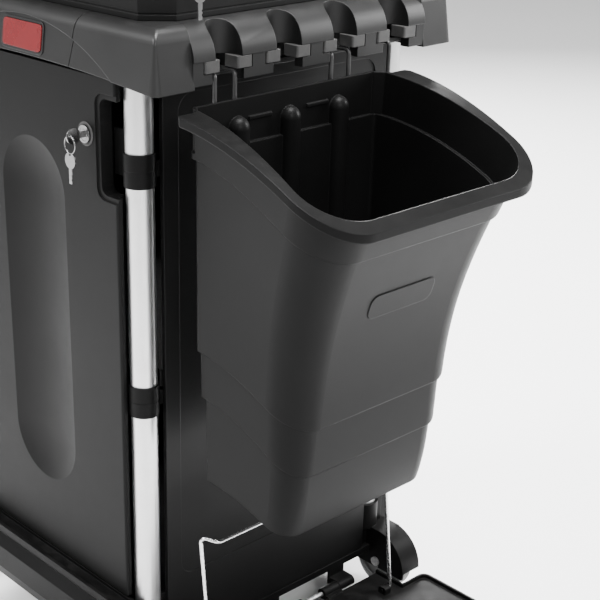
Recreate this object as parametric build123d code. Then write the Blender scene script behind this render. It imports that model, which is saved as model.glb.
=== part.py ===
"""Housekeeping cart: a lockable cabinet on wheels with a hood, two tool rails, a hanging bin and fold-up platforms.

Millimetres, +Z up, +X towards the end that carries the bin, -Y towards the left door.
The origin is on the floor under the middle of the cart.
"""

from build123d import *
import os
from math import radians, tan

os.makedirs("parts", exist_ok=True)

# ---------------------------------------------------------------- driving dimensions
DECK_LENGTH = 576.0           # over the two tool rails
DECK_WIDTH = 553.0            # over the side skirts
DECK_BOTTOM = 932.0
DECK_HEIGHT = 78.0
CART_HEIGHT = 1340.0          # top of the hood
FIT = 0.05                    # radial clearance of a fitted pin
GAP = 1.0                     # clearance between neighbouring mouldings
SEAT = 0.3                    # clearance between parts that only meet

# posts
POST_RADIUS = 19.0
POST_WALL = 2.0
POST_END_INSET = 85.0         # post centre to the tool rail's face
POST_SIDE_INSET = 42.5        # post centre to the skirt's face
POST_FOOT_DROP = 52.0         # how deep the posts stand in the base
POST_IN_DECK = 28.0
SOCKET_WALL = 5.0
COLLAR_WALL = 2.6
COLLAR_HEIGHT = 45.0
COLLAR_DROP = 135.0           # from the deck to the underside of the upper collars
COLLAR_SPACING = 328.0        # from the lower collars to the upper ones
EAR_HALF = 3.0                # half thickness of a collar's ear
SCREW_RADIUS = 2.0
SCREW_BITE = 4.5              # how far a screw reaches into the end panel

# deck
DECK_WALL = 5.0
DECK_TAPER = 8.0              # lean of the skirt, in degrees
DECK_CORNER = 12.0
DECK_EDGE = 20.0
SEAM_INSET = 188.0            # from the rail's face to the lower end of the seam
SEAM_SLANT = 24.0
SEAM_GAP = 1.6
SKIRT_ARCH = 11.0             # rise of the skirt's lower edge
PANEL_ARCH_INSET = 78.0       # from the rail's face to the end of the skirt's arched recess
PANEL_ARCH_RISE = 63.0
PANEL_ARCH_DEPTH = 3.0
TONGUE_REACH = 65.0           # how far the deck's tongue runs under an end cap
TONGUE_THICKNESS = 7.0
TONGUE_INSET = 36.0
BADGE_LENGTH = 90.0
BADGE_HEIGHT = 36.0
BADGE_THICKNESS = 2.5
BADGE_RISE = 36.0             # from the skirt's lower edge to the badge's middle

# tool rail
SLOT_COUNT = 4
SLOT_RADIUS = 22.5
SLOT_INSET = 12.0             # slot centre to the rail's face
CORNER_LENGTH = 64.0          # the closed corner beside the slots
CORNER_REST = 4.5             # from the last block to the closed corner
SHOULDER = 45.0               # radius of the rail's rounded shoulder
BLOCK_RISE = 3.5              # from the skirt's lower edge to the blocks
BLOCK_PLATE = 13.0
BLOCK_DEPTH = 15.0
BLOCK_SETBACK = 1.5
BLOCK_OVERHANG = 8.0          # how far a block's plate stops short of the slot
STEM_WIDTH = 22.0
JAW_WIDTH = 25.0
JAW_DEPTH = 25.0
JAW_HEIGHT = 15.0
LEDGE_DEPTH = 12.0            # inner ledge that the bin hanger hooks over
LEDGE_HEIGHT = 7.0

# base
PANEL_OUTSET = 2.0            # end panel's face beyond the posts
BASE_OUTSET = 2.0             # base beyond the end panels
BASE_SIDE_OUTSET = 11.0       # base beyond the posts at the sides
BASE_SKIRT_BOTTOM = 75.0
BASE_END_BOTTOM = 66.0
SILL = 12.0                   # height of the sill that an end panel stands on
BASE_TOP = 170.0
BASE_WALL = 5.0
BASE_FLOOR_DROP = 40.0        # from the base's top to its floor
BASE_FLOOR = 6.0
BUMPER_REACH = 34.0           # how far the side bumper stands out
BUMPER_INSET = 21.0           # end of the bumper from the end of the base

# wheels
WHEEL_RADIUS = 52.0
WHEEL_WIDTH = 26.0
TREAD = 9.0
AXLE_RADIUS = 5.0
WHEEL_OUTSET = 15.0           # fixed axle beyond the end of the base
WHEEL_FLUSH = 0.0             # wheel's outer face from the side of the base
FENDER_CLEARANCE = 4.0
FENDER_WALL = 4.0
SIDE_PLATE = 4.0
SIDE_CLEARANCE = 4.0
CASTER_INSET = 101.0          # caster's kingpin from the end of the base
CASTER_SIDE_INSET = 99.0      # caster's kingpin from the side of the base
CASTER_TRAIL = 28.0
CASTER_PLATE_HALF = 32.0
CASTER_PLATE = 4.0
BOLT_OFFSET = 24.0
FORK_WALL = 3.0
FORK_TYRE_GAP = 14.0          # from the top of the tyre to the top of the fork's crown
KINGPIN_RADIUS = 6.0

# cabinet
PANEL_THICKNESS = 7.0
SHELF_Z = 520.0
SHELF_THICKNESS = 12.0

# doors
DOOR_OUTSET = 12.0            # door's face beyond the posts
DOOR_SKIN = 10.7
DOOR_PAN = 12.0
DOOR_LAP = 9.0                # door's edge inside the post's centre
DOOR_PAN_INSET = 14.0
DOOR_RISE = 4.0               # door above the base
DOOR_LAP_UP = 4.5             # door's top edge above the deck's lower edge
DOOR_PIN_INSET = 6.0
DOOR_PIN_RADIUS = 2.5
DOOR_PIN_LENGTH = 22.0        # engagement in the door
HINGE_LUG = 18.0
PILL_HALF = 76.0
PILL_FOOT = 121.0             # from the door's bottom to the recess
PILL_HEAD = 107.5             # from the recess to the door's top
PILL_DEPTH = 12.0
GRIP_WIDTH = 36.0             # finger cut-out at the door's free edge
GRIP_DROP = 27.5
GRIP_HEIGHT = 128.0
LOCK_INSET = 64.0             # lock's centre from the door's free edge
LOCK_DROP = 79.5
LOCK_BARREL = 8.0
LOCK_FACE = 12.0
CAM_LENGTH = 44.0
CAM_HEEL = 8.0                # cam behind the lock's centre
CAM_BEHIND = 9.0              # from the panel's back to the cam
CAM_BITE = 8.0                # how far the cam reaches behind its keeper

# hood
HOOD_INSET = 42.0             # hood's end from the rail's face
HOOD_SIDE_INSET = 36.5        # hood's side from the skirt's face
HOOD_RISE = 112.0             # from the deck to the hood's split line
HOOD_WALL = 4.0
HOOD_CORNER = 34.0
HOOD_EDGE = 22.0
HOOD_LOCK_INSET = 50.0
HOOD_LOCK_DROP = 46.0
HINGE_RADIUS = 3.0
HINGE_BARREL = 7.0
HINGE_INSET = 96.0            # middle of a hinge from the hood's end
HINGE_LENGTH = 60.0

# bin
BIN_GAP = 3.0                 # bin's back from the rail's face
BIN_REACH = 279.0             # from the bin's back to the front of its rim
BIN_DROP = 20.0               # bin's top below the deck's lower edge
BIN_HEIGHT = 520.0
BIN_EAR = 208.0               # half width of the rim at its back corners
BIN_RIM_FRONT = 203.0         # half width of the rim at its front corners
BIN_RIM_CORNER = 72.0
BIN_RIM_DROP = 98.0           # how far the rim falls towards the front
BIN_RIM_DEPTH = 11.0
BIN_CURVE = 1.8               # exponent of the falling curves
BIN_WALL = 3.5
BIN_COLLAR = 62.0             # height of the collar at the back
BIN_STEP = 5.0                # each tier is this much narrower than the one above
BIN_STEPS = (196.0, 128.0)    # back heights of the two lower steps above the bin's bottom
BIN_BACK_HALF = 163.0         # half width of the back wall between the notches
BIN_NOTCH = 17.0
BIN_NOTCH_DEPTH = 54.0
FLUTE_RADIUS = 15.0
FLUTE_PITCH = 91.0
FLUTE_DROP = 22.0
PLATE_WIDTH = 120.0           # plain raised field on the front
PLATE_HEIGHT = 34.0
PLATE_CORNER = 12.0
PLATE_RISE = 1.2
PLATE_DROP = 230.0            # from the bin's top to the field's middle
HANGER_WIRE = 3.0             # wire radius
HANGER_INSET = 5.0            # wire's centre from the rail's face
HANGER_DROP = 40.0            # strip's middle below the bin's top
HANGER_HALF = 17.0
HANGER_STRIP = 20.0
HOOK_HALF = 20.0

# platforms
HINGE_LINE_OUTSET = 17.0      # hinge line from the end of the base
HINGE_LINE_Z = 44.0
PLATFORM_LENGTH = 328.0       # from the hinge line to the free end
PLATFORM_TOP = 42.0
PLATFORM_SKIN = 5.0
PLATFORM_UNDER = 28.0         # lower edge of the rim
PLATFORM_RIM = 6.0            # how far the rim stands above the top
PLATFORM_OUTSET = 8.0         # wide part beyond the side of the base
NECK_CLEARANCE = 12.0         # between the neck and the wheels' housings
SHOULDER_CLEARANCE = 12.0     # between the wide part and the wheels' housings
PLATFORM_PIN = 4.0
KNUCKLE = 9.0
KNUCKLE_LENGTH = 34.0
KNUCKLE_Y = 150.0
BAIL_WIRE = 2.8               # wire radius
BAIL_OFFSET = 62.0            # from the hinge line to the bail's pivot
BAIL_INSET = 23.0             # bail's legs from the neck's sides
BAIL_HEIGHT = 238.0
BAIL_LEAN = 28.0
BAIL_JOG = 24.0
BAIL_PIVOT = 6.0              # height of the pivot above the platform

# ---------------------------------------------------------------- places that follow from them
RAIL_FACE = DECK_LENGTH / 2
SKIRT_FACE = DECK_WIDTH / 2
DECK_TOP = DECK_BOTTOM + DECK_HEIGHT
POST_X = RAIL_FACE - POST_END_INSET
POST_Y = SKIRT_FACE - POST_SIDE_INSET
POST_FOOT = BASE_TOP - POST_FOOT_DROP
POST_TOP = DECK_BOTTOM + POST_IN_DECK
COLLARS = (DECK_BOTTOM - COLLAR_DROP, DECK_BOTTOM - COLLAR_DROP - COLLAR_SPACING)

SEAM_BOTTOM = RAIL_FACE - SEAM_INSET
SEAM_TOP = SEAM_BOTTOM + SEAM_SLANT
PANEL_ARCH_HALF = RAIL_FACE - PANEL_ARCH_INSET
TONGUE_HALF = SEAM_BOTTOM + TONGUE_REACH
BADGE_Z = DECK_BOTTOM + BADGE_RISE
RAIL_LIP = DECK_TOP - SHOULDER
BLOCK_BOTTOM = DECK_BOTTOM + BLOCK_RISE
SLOT_X = RAIL_FACE - SLOT_INSET
SLOT_PITCH = (DECK_WIDTH - 2 * (CORNER_LENGTH + CORNER_REST)) / SLOT_COUNT
SLOTS = [(i - (SLOT_COUNT - 1) / 2) * SLOT_PITCH for i in range(SLOT_COUNT)]

PANEL_FACE = POST_X + POST_RADIUS + PANEL_OUTSET
PANEL_INNER = PANEL_FACE - PANEL_THICKNESS
PANEL_HALF_WIDTH = POST_Y - POST_RADIUS - COLLAR_WALL - GAP / 2
BASE_HALF_LENGTH = PANEL_FACE + BASE_OUTSET
BASE_HALF_WIDTH = POST_Y + POST_RADIUS + BASE_SIDE_OUTSET
BASE_FLOOR_Z = BASE_TOP - BASE_FLOOR_DROP
BUMPER_HALF = BASE_HALF_LENGTH - BUMPER_INSET
WHEEL_X = BASE_HALF_LENGTH + WHEEL_OUTSET
WHEEL_Y = BASE_HALF_WIDTH - WHEEL_FLUSH - WHEEL_WIDTH / 2
FENDER_INNER = WHEEL_RADIUS + FENDER_CLEARANCE
FENDER_OUTER = FENDER_INNER + FENDER_WALL
WELL_IN = WHEEL_Y - WHEEL_WIDTH / 2 - SIDE_CLEARANCE - SIDE_PLATE
WELL_OUT = WHEEL_Y + WHEEL_WIDTH / 2 + SIDE_CLEARANCE + SIDE_PLATE
CASTER_X = CASTER_INSET - BASE_HALF_LENGTH
CASTER_Y = BASE_HALF_WIDTH - CASTER_SIDE_INSET
FORK_CROWN = 2 * WHEEL_RADIUS + FORK_TYRE_GAP

DOOR_FACE = POST_Y + POST_RADIUS + DOOR_OUTSET
DOOR_EDGE_X = POST_X - DOOR_LAP
DOOR_PAN_X = DOOR_EDGE_X - DOOR_PAN_INSET
DOOR_PIN_X = DOOR_EDGE_X - DOOR_PIN_INSET
DOOR_BOTTOM = BASE_TOP + DOOR_RISE
DOOR_TOP = DECK_BOTTOM + DOOR_LAP_UP
PILL_BOTTOM = DOOR_BOTTOM + PILL_FOOT
PILL_TOP = DOOR_TOP - PILL_HEAD
GRIP_X = DOOR_EDGE_X - GRIP_WIDTH
GRIP_TOP = DOOR_TOP - GRIP_DROP
GRIP_BOTTOM = GRIP_TOP - GRIP_HEIGHT
LOCK_X = DOOR_EDGE_X - LOCK_INSET
LOCK_Z = DOOR_TOP - LOCK_DROP
KEEPER_X = LOCK_X + CAM_LENGTH - CAM_HEEL - CAM_BITE

HOOD_HALF_LENGTH = RAIL_FACE - HOOD_INSET
HOOD_HALF_WIDTH = SKIRT_FACE - HOOD_SIDE_INSET
HOOD_SPLIT = DECK_TOP + HOOD_RISE
HOOD_LOCK_Y = HOOD_LOCK_INSET - HOOD_HALF_WIDTH
HOOD_LOCK_Z = HOOD_SPLIT - HOOD_LOCK_DROP
HINGE_X = HOOD_HALF_LENGTH - HINGE_INSET

BIN_BACK = RAIL_FACE + BIN_GAP
BIN_FRONT = BIN_BACK + BIN_REACH
BIN_TOP = DECK_BOTTOM - BIN_DROP
BIN_BOTTOM = BIN_TOP - BIN_HEIGHT
BIN_MIDDLE = -SLOT_PITCH / 2  # the bin hangs half a slot off the cart's middle
BIN_NOTCH_BOTTOM = BIN_TOP - BIN_NOTCH_DEPTH
FLUTE_TOP = BIN_TOP - FLUTE_DROP
PLATE_Z = BIN_TOP - PLATE_DROP
HANGER_X = RAIL_FACE - HANGER_INSET
HANGER_Z = BIN_TOP - HANGER_DROP
HOOK_OFFSET = SLOT_PITCH / 2

HINGE_LINE_X = BASE_HALF_LENGTH + HINGE_LINE_OUTSET
PLATFORM_HALF = BASE_HALF_WIDTH + PLATFORM_OUTSET
PLATFORM_NECK = WELL_IN - NECK_CLEARANCE
NECK_END_X = WHEEL_X + FENDER_OUTER + SHOULDER_CLEARANCE
BAIL_HALF = PLATFORM_NECK - BAIL_INSET


# ---------------------------------------------------------------- helpers
def block(x0, x1, y0, y1, z0, z1):
    """A box between two corners."""
    centre = Pos((x0 + x1) / 2, (y0 + y1) / 2, (z0 + z1) / 2)
    return centre * Box(abs(x1 - x0), abs(y1 - y0), abs(z1 - z0))


def rod_z(x, y, z0, z1, radius):
    return Pos(x, y, (z0 + z1) / 2) * Cylinder(radius, abs(z1 - z0))


def rod_y(x, z, y0, y1, radius):
    return Pos(x, (y0 + y1) / 2, z) * Rot(90, 0, 0) * Cylinder(radius, abs(y1 - y0))


def rod_x(y, z, x0, x1, radius):
    return Pos((x0 + x1) / 2, y, z) * Rot(0, 90, 0) * Cylinder(radius, abs(x1 - x0))


def tube_z(x, y, z0, z1, outer, inner):
    return rod_z(x, y, z0, z1, outer) - rod_z(x, y, z0 - 1, z1 + 1, inner)


def prism_y(face, y0, y1):
    """A face drawn in X and Z, from y0 to y1."""
    plane = Plane(origin=(0, y1, 0), x_dir=(1, 0, 0), z_dir=(0, -1, 0))
    return extrude(plane * face, amount=y1 - y0)


def prism_x(face, x0, x1):
    """A face drawn in Y and Z, from x0 to x1."""
    plane = Plane(origin=(x0, 0, 0), x_dir=(0, 1, 0), z_dir=(1, 0, 0))
    return extrude(plane * face, amount=x1 - x0)


def prism_z(face, z0, z1):
    return extrude(Plane(origin=(0, 0, z0)) * face, amount=z1 - z0)


def polygon(*points):
    return make_face(Polyline(*points, close=True))


def wire(points, bends, radius):
    """A round wire through points, bent at each inner point."""
    path = FilletPolyline(*points, radius=bends)
    start = Plane(origin=path @ 0, z_dir=path % 0)
    return sweep(start * Circle(radius), path=path)


def half_turn(shape):
    """The same piece at the opposite corner of the cart."""
    return Rot(0, 0, 180) * shape


def group(shapes):
    return Compound(children=[s.solid() for s in shapes])


def save(name, shape):
    export_step(shape, f"parts/{name}.step")


# ---------------------------------------------------------------- base
def bumper():
    """The bulging strip along one side of the base, as a profile in Y and Z."""
    side = BASE_HALF_WIDTH - 1.0
    reach = BASE_HALF_WIDTH + BUMPER_REACH
    ridge = reach - 8.0
    profile = polygon(
        (side, BASE_SKIRT_BOTTOM), (reach - 8.0, BASE_SKIRT_BOTTOM), (reach, BASE_SKIRT_BOTTOM + 22.0),
        (reach, BASE_TOP - 34.0), (ridge - 4.0, BASE_TOP - 18.0), (ridge, BASE_TOP - 12.0),
        (ridge, BASE_TOP), (ridge - 6.0, BASE_TOP), (ridge - 8.0, BASE_TOP - 6.0), (side, BASE_TOP - 6.0))
    strip = prism_x(profile, -BUMPER_HALF, BUMPER_HALF)
    ends = strip.edges().filter_by(Axis.Z).group_by(Axis.Y)[-1]
    return chamfer(ends, 7.0)


def fender(side):
    """The housing over one fixed wheel: a quarter arch, a flat top and two plates that hold the axle."""
    y0 = side * WELL_IN
    y1 = side * WELL_OUT
    low, high = min(y0, y1), max(y0, y1)
    arch = rod_y(WHEEL_X, WHEEL_RADIUS, low, high, FENDER_OUTER)
    arch -= rod_y(WHEEL_X, WHEEL_RADIUS, low - 1, high + 1, FENDER_INNER)
    arch &= block(WHEEL_X, WHEEL_X + FENDER_OUTER, low, high, WHEEL_RADIUS, WHEEL_RADIUS + FENDER_OUTER)
    well_back = WHEEL_X - FENDER_OUTER
    top = WHEEL_RADIUS + FENDER_OUTER
    roof = block(well_back, WHEEL_X + 0.5, low, high, top - FENDER_WALL, top)
    inner = block(well_back, WHEEL_X + FENDER_OUTER, y0, y0 + side * SIDE_PLATE, BASE_END_BOTTOM - 25, top)
    cut = block(WHEEL_X, WHEEL_X + FENDER_OUTER + 1, low, high, 0, top + 1)
    cut -= rod_y(WHEEL_X, WHEEL_RADIUS, low, high, FENDER_OUTER)
    outer = block(WHEEL_X - 12, WHEEL_X + 12, y1 - side * SIDE_PLATE, y1, WHEEL_RADIUS - 12, top)
    back = block(well_back, well_back + BASE_WALL, low, high, BASE_SKIRT_BOTTOM, top)
    return arch + roof + (inner - cut) + outer + back


def hinge_lug(z0, z1):
    """The ear that holds a door's hinge pin."""
    half = HINGE_LUG / 2
    pin_y = DOOR_FACE - DOOR_SKIN / 2
    return block(-DOOR_PIN_X - half, -DOOR_PIN_X + half, -pin_y - half + 1, -pin_y + half, z0, z1)


def platform_bracket(y):
    """A knuckle of the base that holds the platform's hinge pin."""
    half = KNUCKLE_LENGTH / 2
    face = BASE_HALF_LENGTH
    knuckle = rod_y(HINGE_LINE_X, HINGE_LINE_Z, y - half, y + half, KNUCKLE)
    arm = block(face - BASE_WALL, HINGE_LINE_X, y - half, y + half, HINGE_LINE_Z - KNUCKLE, HINGE_LINE_Z + KNUCKLE)
    drop = block(face - BASE_WALL, face, y - half, y + half, HINGE_LINE_Z, BASE_END_BOTTOM + SILL)
    return knuckle + arm + drop


def base_tray():
    length, width = BASE_HALF_LENGTH, BASE_HALF_WIDTH
    lip = PANEL_INNER - SEAT
    tray = block(-length, length, -width, width, BASE_END_BOTTOM, BASE_TOP)
    tray -= block(-lip + BASE_WALL, lip - BASE_WALL, -width + BASE_WALL, width - BASE_WALL,
                  BASE_FLOOR_Z + BASE_FLOOR, BASE_TOP + 1)
    tray -= block(-lip + BASE_WALL, lip - BASE_WALL, -width + BASE_WALL, width - BASE_WALL, 0, BASE_FLOOR_Z)
    for end in (-1, 1):
        tray -= block(end * lip, end * (length + 1), -PANEL_HALF_WIDTH - 60, PANEL_HALF_WIDTH + 60,
                      BASE_END_BOTTOM + SILL, BASE_TOP + 1)
        tray -= block(-length - 1, length + 1, end * (width - BASE_WALL - 1), end * (width + 1),
                      0, BASE_SKIRT_BOTTOM)
        well = WHEEL_X - FENDER_OUTER
        tray -= block(well, length + 1, end * WELL_IN, end * (WELL_OUT + 1), 0, WHEEL_RADIUS + FENDER_OUTER)
    strip = bumper()
    tray += strip
    tray += half_turn(strip)
    for side in (-1, 1):
        tray += fender(side)
        for end in (-1, 1):
            x, y = end * POST_X, side * POST_Y
            tray += rod_z(x, y, POST_FOOT - 8, BASE_TOP - 14, POST_RADIUS + SOCKET_WALL)
            tray += block(x - 12, x + 12, y - side * 30, y, BASE_FLOOR_Z, BASE_TOP - 20)
        tray += block(CASTER_X - 40, CASTER_X + 40, side * CASTER_Y - 40, side * CASTER_Y + 40,
                      FORK_CROWN + CASTER_PLATE + SEAT, BASE_FLOOR_Z + 1)
        for y in (-KNUCKLE_Y, 0, KNUCKLE_Y):
            tray += platform_bracket(y) if side > 0 else half_turn(platform_bracket(y))
    lug = hinge_lug(BASE_FLOOR_Z, BASE_TOP)
    tray += lug
    tray += half_turn(lug)
    for side in (-1, 1):
        for end in (-1, 1):
            tray -= rod_z(end * POST_X, side * POST_Y, POST_FOOT, BASE_TOP + 1, POST_RADIUS + FIT)
        tray -= rod_y(WHEEL_X, WHEEL_RADIUS, side * (WELL_IN - 1), side * (WELL_OUT + 1), AXLE_RADIUS + FIT)
        tray -= rod_y(WHEEL_X, WHEEL_RADIUS, side * (WELL_IN + SIDE_PLATE), side * (WELL_OUT - SIDE_PLATE),
                      FENDER_INNER)
        tray -= rod_y(side * HINGE_LINE_X, HINGE_LINE_Z, -PLATFORM_HALF, PLATFORM_HALF, PLATFORM_PIN + FIT)
        tray -= rod_z(CASTER_X, side * CASTER_Y, FORK_CROWN, BASE_FLOOR_Z - 1, KINGPIN_RADIUS + 3)
        pin_y = DOOR_FACE - DOOR_SKIN / 2
        tray -= rod_z(side * DOOR_PIN_X, side * pin_y, BASE_TOP - 16, BASE_TOP + 1, DOOR_PIN_RADIUS + FIT)
    return tray


# ---------------------------------------------------------------- posts
def post(x, y):
    return tube_z(x, y, POST_FOOT, POST_TOP, POST_RADIUS, POST_RADIUS - POST_WALL)


def split_height(z):
    return z + COLLAR_HEIGHT / 2


def screw_y(y):
    """Where a collar's screw stands beside the post at y."""
    side = 1 if y > 0 else -1
    return y - side * (POST_RADIUS + COLLAR_WALL + 6)


def collar_screw(x, y, z):
    across = 1 if x > 0 else -1
    face = PANEL_INNER - SEAT - 2 * EAR_HALF - 0.1
    tip = PANEL_INNER + SCREW_BITE - GAP
    screw = rod_x(screw_y(y), split_height(z), across * (face - 1), across * tip, SCREW_RADIUS)
    head = rod_x(screw_y(y), split_height(z), across * (face - 2.4), across * face, 2.2 * SCREW_RADIUS)
    return screw + head


def collar(x, y, z, keeper):
    """A ring round a post with a small ear behind the end panel, and a keeper for the lock on the latch side."""
    outer = POST_RADIUS + COLLAR_WALL
    across = 1 if x > 0 else -1
    side = 1 if y > 0 else -1
    ring = rod_z(x, y, z, z + COLLAR_HEIGHT, outer)
    split = split_height(z)
    ring -= tube_z(x, y, split - 0.4, split + 0.4, outer + 1, outer - 0.6)
    ear_x = across * (PANEL_INNER - SEAT - EAR_HALF)
    ring += block(ear_x - EAR_HALF, ear_x + EAR_HALF, y - side * (outer + 12), y, z + 12, z + COLLAR_HEIGHT - 12)
    ring -= rod_x(screw_y(y), split_height(z), ear_x - 4, ear_x + 4, SCREW_RADIUS + FIT)
    if keeper:
        pan_back = DOOR_FACE - DOOR_SKIN - DOOR_PAN
        plate = block(across * KEEPER_X, x, side * (pan_back - 5.5), side * (pan_back - 2.5), z + 8, LOCK_Z + 10)
        ring += plate
    ring -= rod_z(x, y, z - 1, LOCK_Z + 20, POST_RADIUS + FIT)
    return ring


def post_collars():
    rings = []
    for end in (-1, 1):
        for side in (-1, 1):
            for z in COLLARS:
                latch = end != side and z == COLLARS[0]
                rings.append(collar(end * POST_X, side * POST_Y, z, latch))
    return group(rings)


# ---------------------------------------------------------------- cabinet
def end_panel():
    """The wall between the posts at the bin end, with a shallow raised field."""
    low = BASE_END_BOTTOM + SILL + SEAT
    high = DECK_BOTTOM + SKIRT_ARCH + 30
    panel = block(PANEL_INNER, PANEL_FACE, -PANEL_HALF_WIDTH, PANEL_HALF_WIDTH, low, high)
    field = block(PANEL_FACE - 2, PANEL_FACE + 1, -PANEL_HALF_WIDTH + 26, PANEL_HALF_WIDTH - 26,
                  BASE_TOP + 20, high - 60)
    field = fillet(field.edges().filter_by(Axis.X), 24)
    for side in (-1, 1):
        for z in COLLARS:
            y = screw_y(side * POST_Y)
            panel -= rod_x(y, split_height(z), PANEL_INNER - 1, PANEL_INNER + SCREW_BITE, SCREW_RADIUS + FIT)
    return panel - field


def shelf():
    length = PANEL_INNER - GAP
    width = POST_Y + 4
    board = block(-length, length, -width, width, SHELF_Z, SHELF_Z + SHELF_THICKNESS)
    board += block(-length, length, -width, width, SHELF_Z - 12, SHELF_Z + 1)
    board -= block(-length + 4, length - 4, -width + 4, width - 4, SHELF_Z - 13, SHELF_Z)
    for end in (-1, 1):
        for side in (-1, 1):
            board -= rod_z(end * POST_X, side * POST_Y, SHELF_Z - 20, SHELF_Z + 40,
                           POST_RADIUS + COLLAR_WALL + GAP)
    return board


# ---------------------------------------------------------------- deck
def deck_envelope(drop=0.0, inset_x=0.0, inset_y=0.0):
    """The tapered outline that the deck and both end caps share."""
    outline = Rectangle(DECK_LENGTH - 2 * inset_x, DECK_WIDTH - 2 * inset_y)
    outline = fillet(outline.vertices(), DECK_CORNER)
    shape = extrude(Plane(origin=(0, 0, DECK_BOTTOM)) * outline, amount=DECK_HEIGHT - drop, taper=DECK_TAPER)
    top = shape.faces().sort_by(Axis.Z)[-1]
    return fillet(top.edges(), DECK_EDGE)


def arch_cut(half, rise, base):
    """A long cylinder across the cart whose top is an arch of a given half width and rise."""
    radius = (half * half + rise * rise) / (2 * rise)
    return rod_y(0, base + rise - radius, -DECK_WIDTH, DECK_WIDTH, radius)


def deck_shell():
    shell = deck_envelope() - deck_envelope(DECK_WALL, DECK_WALL, DECK_WALL)
    shell -= arch_cut(RAIL_FACE, SKIRT_ARCH, DECK_BOTTOM)
    recess = arch_cut(PANEL_ARCH_HALF, PANEL_ARCH_RISE, DECK_BOTTOM)
    recess -= deck_envelope(0.0, 0.0, PANEL_ARCH_DEPTH)
    recess -= block(-DECK_LENGTH, DECK_LENGTH, -SKIRT_FACE + 40, SKIRT_FACE - 40, 0, DECK_TOP + 100)
    return shell - recess


def seam_wedge(offset):
    """The space inside the slanted seam, over the deck's whole width."""
    low, high = SEAM_BOTTOM + offset, SEAM_TOP + offset
    face = polygon((-low, DECK_BOTTOM - 20), (low, DECK_BOTTOM - 20), (high, DECK_TOP + 20), (-high, DECK_TOP + 20))
    return prism_y(face, -DECK_WIDTH, DECK_WIDTH)


def deck_middle(shell):
    deck = shell & seam_wedge(0.0)
    under = DECK_TOP - DECK_WALL - 0.2
    width = SKIRT_FACE - TONGUE_INSET
    deck += block(-TONGUE_HALF, TONGUE_HALF, -width, width, under - TONGUE_THICKNESS, under)
    middle = SEAM_BOTTOM - SEAM_GAP
    deck += block(-middle, middle, -width - 12, width + 12, under - TONGUE_THICKNESS, under + 1)
    return deck


def tool_rail(shell):
    """The end cap at the bin end: two corners and the slotted rail between them."""
    cap = shell - seam_wedge(SEAM_GAP)
    cap &= block(0, DECK_LENGTH, -DECK_WIDTH, DECK_WIDTH, 0, DECK_TOP + 1)
    half = SKIRT_FACE - CORNER_LENGTH
    inner = RAIL_FACE - SHOULDER
    cap -= block(inner, RAIL_FACE + 1, -half, half, DECK_BOTTOM - 1, DECK_TOP + 1)
    quarter = rod_y(inner, RAIL_LIP, -half - 1, half + 1, SHOULDER)
    quarter &= block(inner - 3, RAIL_FACE + 1, -half - 1, half + 1, RAIL_LIP, DECK_TOP + 1)
    cap += quarter
    for side in (-1, 1):
        wall = block(inner - 20, RAIL_FACE, side * half, side * (half + DECK_WALL), DECK_BOTTOM, DECK_TOP)
        cap += wall & deck_envelope()
    cap += block(inner - LEDGE_DEPTH + 5, inner + 5, -half - 1, half + 1, BLOCK_BOTTOM, BLOCK_BOTTOM + LEDGE_HEIGHT)
    front = RAIL_FACE - BLOCK_SETBACK
    back = front - BLOCK_DEPTH
    for i in range(SLOT_COUNT + 1):
        middle = (i - SLOT_COUNT / 2) * SLOT_PITCH
        plate = SLOT_PITCH / 2 - SLOT_RADIUS - BLOCK_OVERHANG / 2
        y0 = max(middle - plate, -half - 1)
        y1 = min(middle + plate, half + 1)
        s0 = max(middle - STEM_WIDTH / 2, -half - 1)
        s1 = min(middle + STEM_WIDTH / 2, half + 1)
        cap += block(back, front, y0, y1, BLOCK_BOTTOM, BLOCK_BOTTOM + BLOCK_PLATE)
        cap += block(back, front, s0, s1, BLOCK_BOTTOM, RAIL_LIP + 5)
    for y in SLOTS:
        cap -= rod_z(SLOT_X, y, RAIL_LIP - 5, DECK_TOP + 1, SLOT_RADIUS)
        cap -= block(SLOT_X, RAIL_FACE + 1, y - SLOT_RADIUS, y + SLOT_RADIUS, RAIL_LIP - 5, DECK_TOP + 1)
    under = DECK_TOP - DECK_WALL + 1
    cap += half_turn(hinge_lug(DOOR_TOP + 3, DOOR_TOP + 28))
    for side in (-1, 1):
        y = side * POST_Y
        cap += rod_z(POST_X, y, DECK_BOTTOM + 12, under, POST_RADIUS + SOCKET_WALL)
        cap -= rod_z(POST_X, y, DECK_BOTTOM - 1, POST_TOP, POST_RADIUS + FIT)
    pin_y = DOOR_FACE - DOOR_SKIN / 2
    cap -= rod_z(DOOR_PIN_X, pin_y, DOOR_TOP - 1, DOOR_TOP + 20, DOOR_PIN_RADIUS + FIT)
    return cap.solids().sort_by(SortBy.VOLUME)[-1]


def rail_jaws():
    """Soft jaws at both sides of each slot, which grip a tool's handle."""
    jaws = []
    top = RAIL_LIP - SEAT
    back = RAIL_FACE - BLOCK_SETBACK - JAW_DEPTH
    for y in SLOTS:
        for side in (-1, 1):
            outer = y + side * (SLOT_PITCH / 2 - STEM_WIDTH / 2 - 1.5)
            inner = outer - side * JAW_WIDTH
            low = max(BLOCK_BOTTOM + BLOCK_PLATE + SEAT, top - JAW_HEIGHT)
            jaw = block(back, RAIL_FACE, min(outer, inner), max(outer, inner), low, top)
            jaws.append(fillet(jaw.edges().filter_by(Axis.Z), 3.0))
    return group(jaws)


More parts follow.
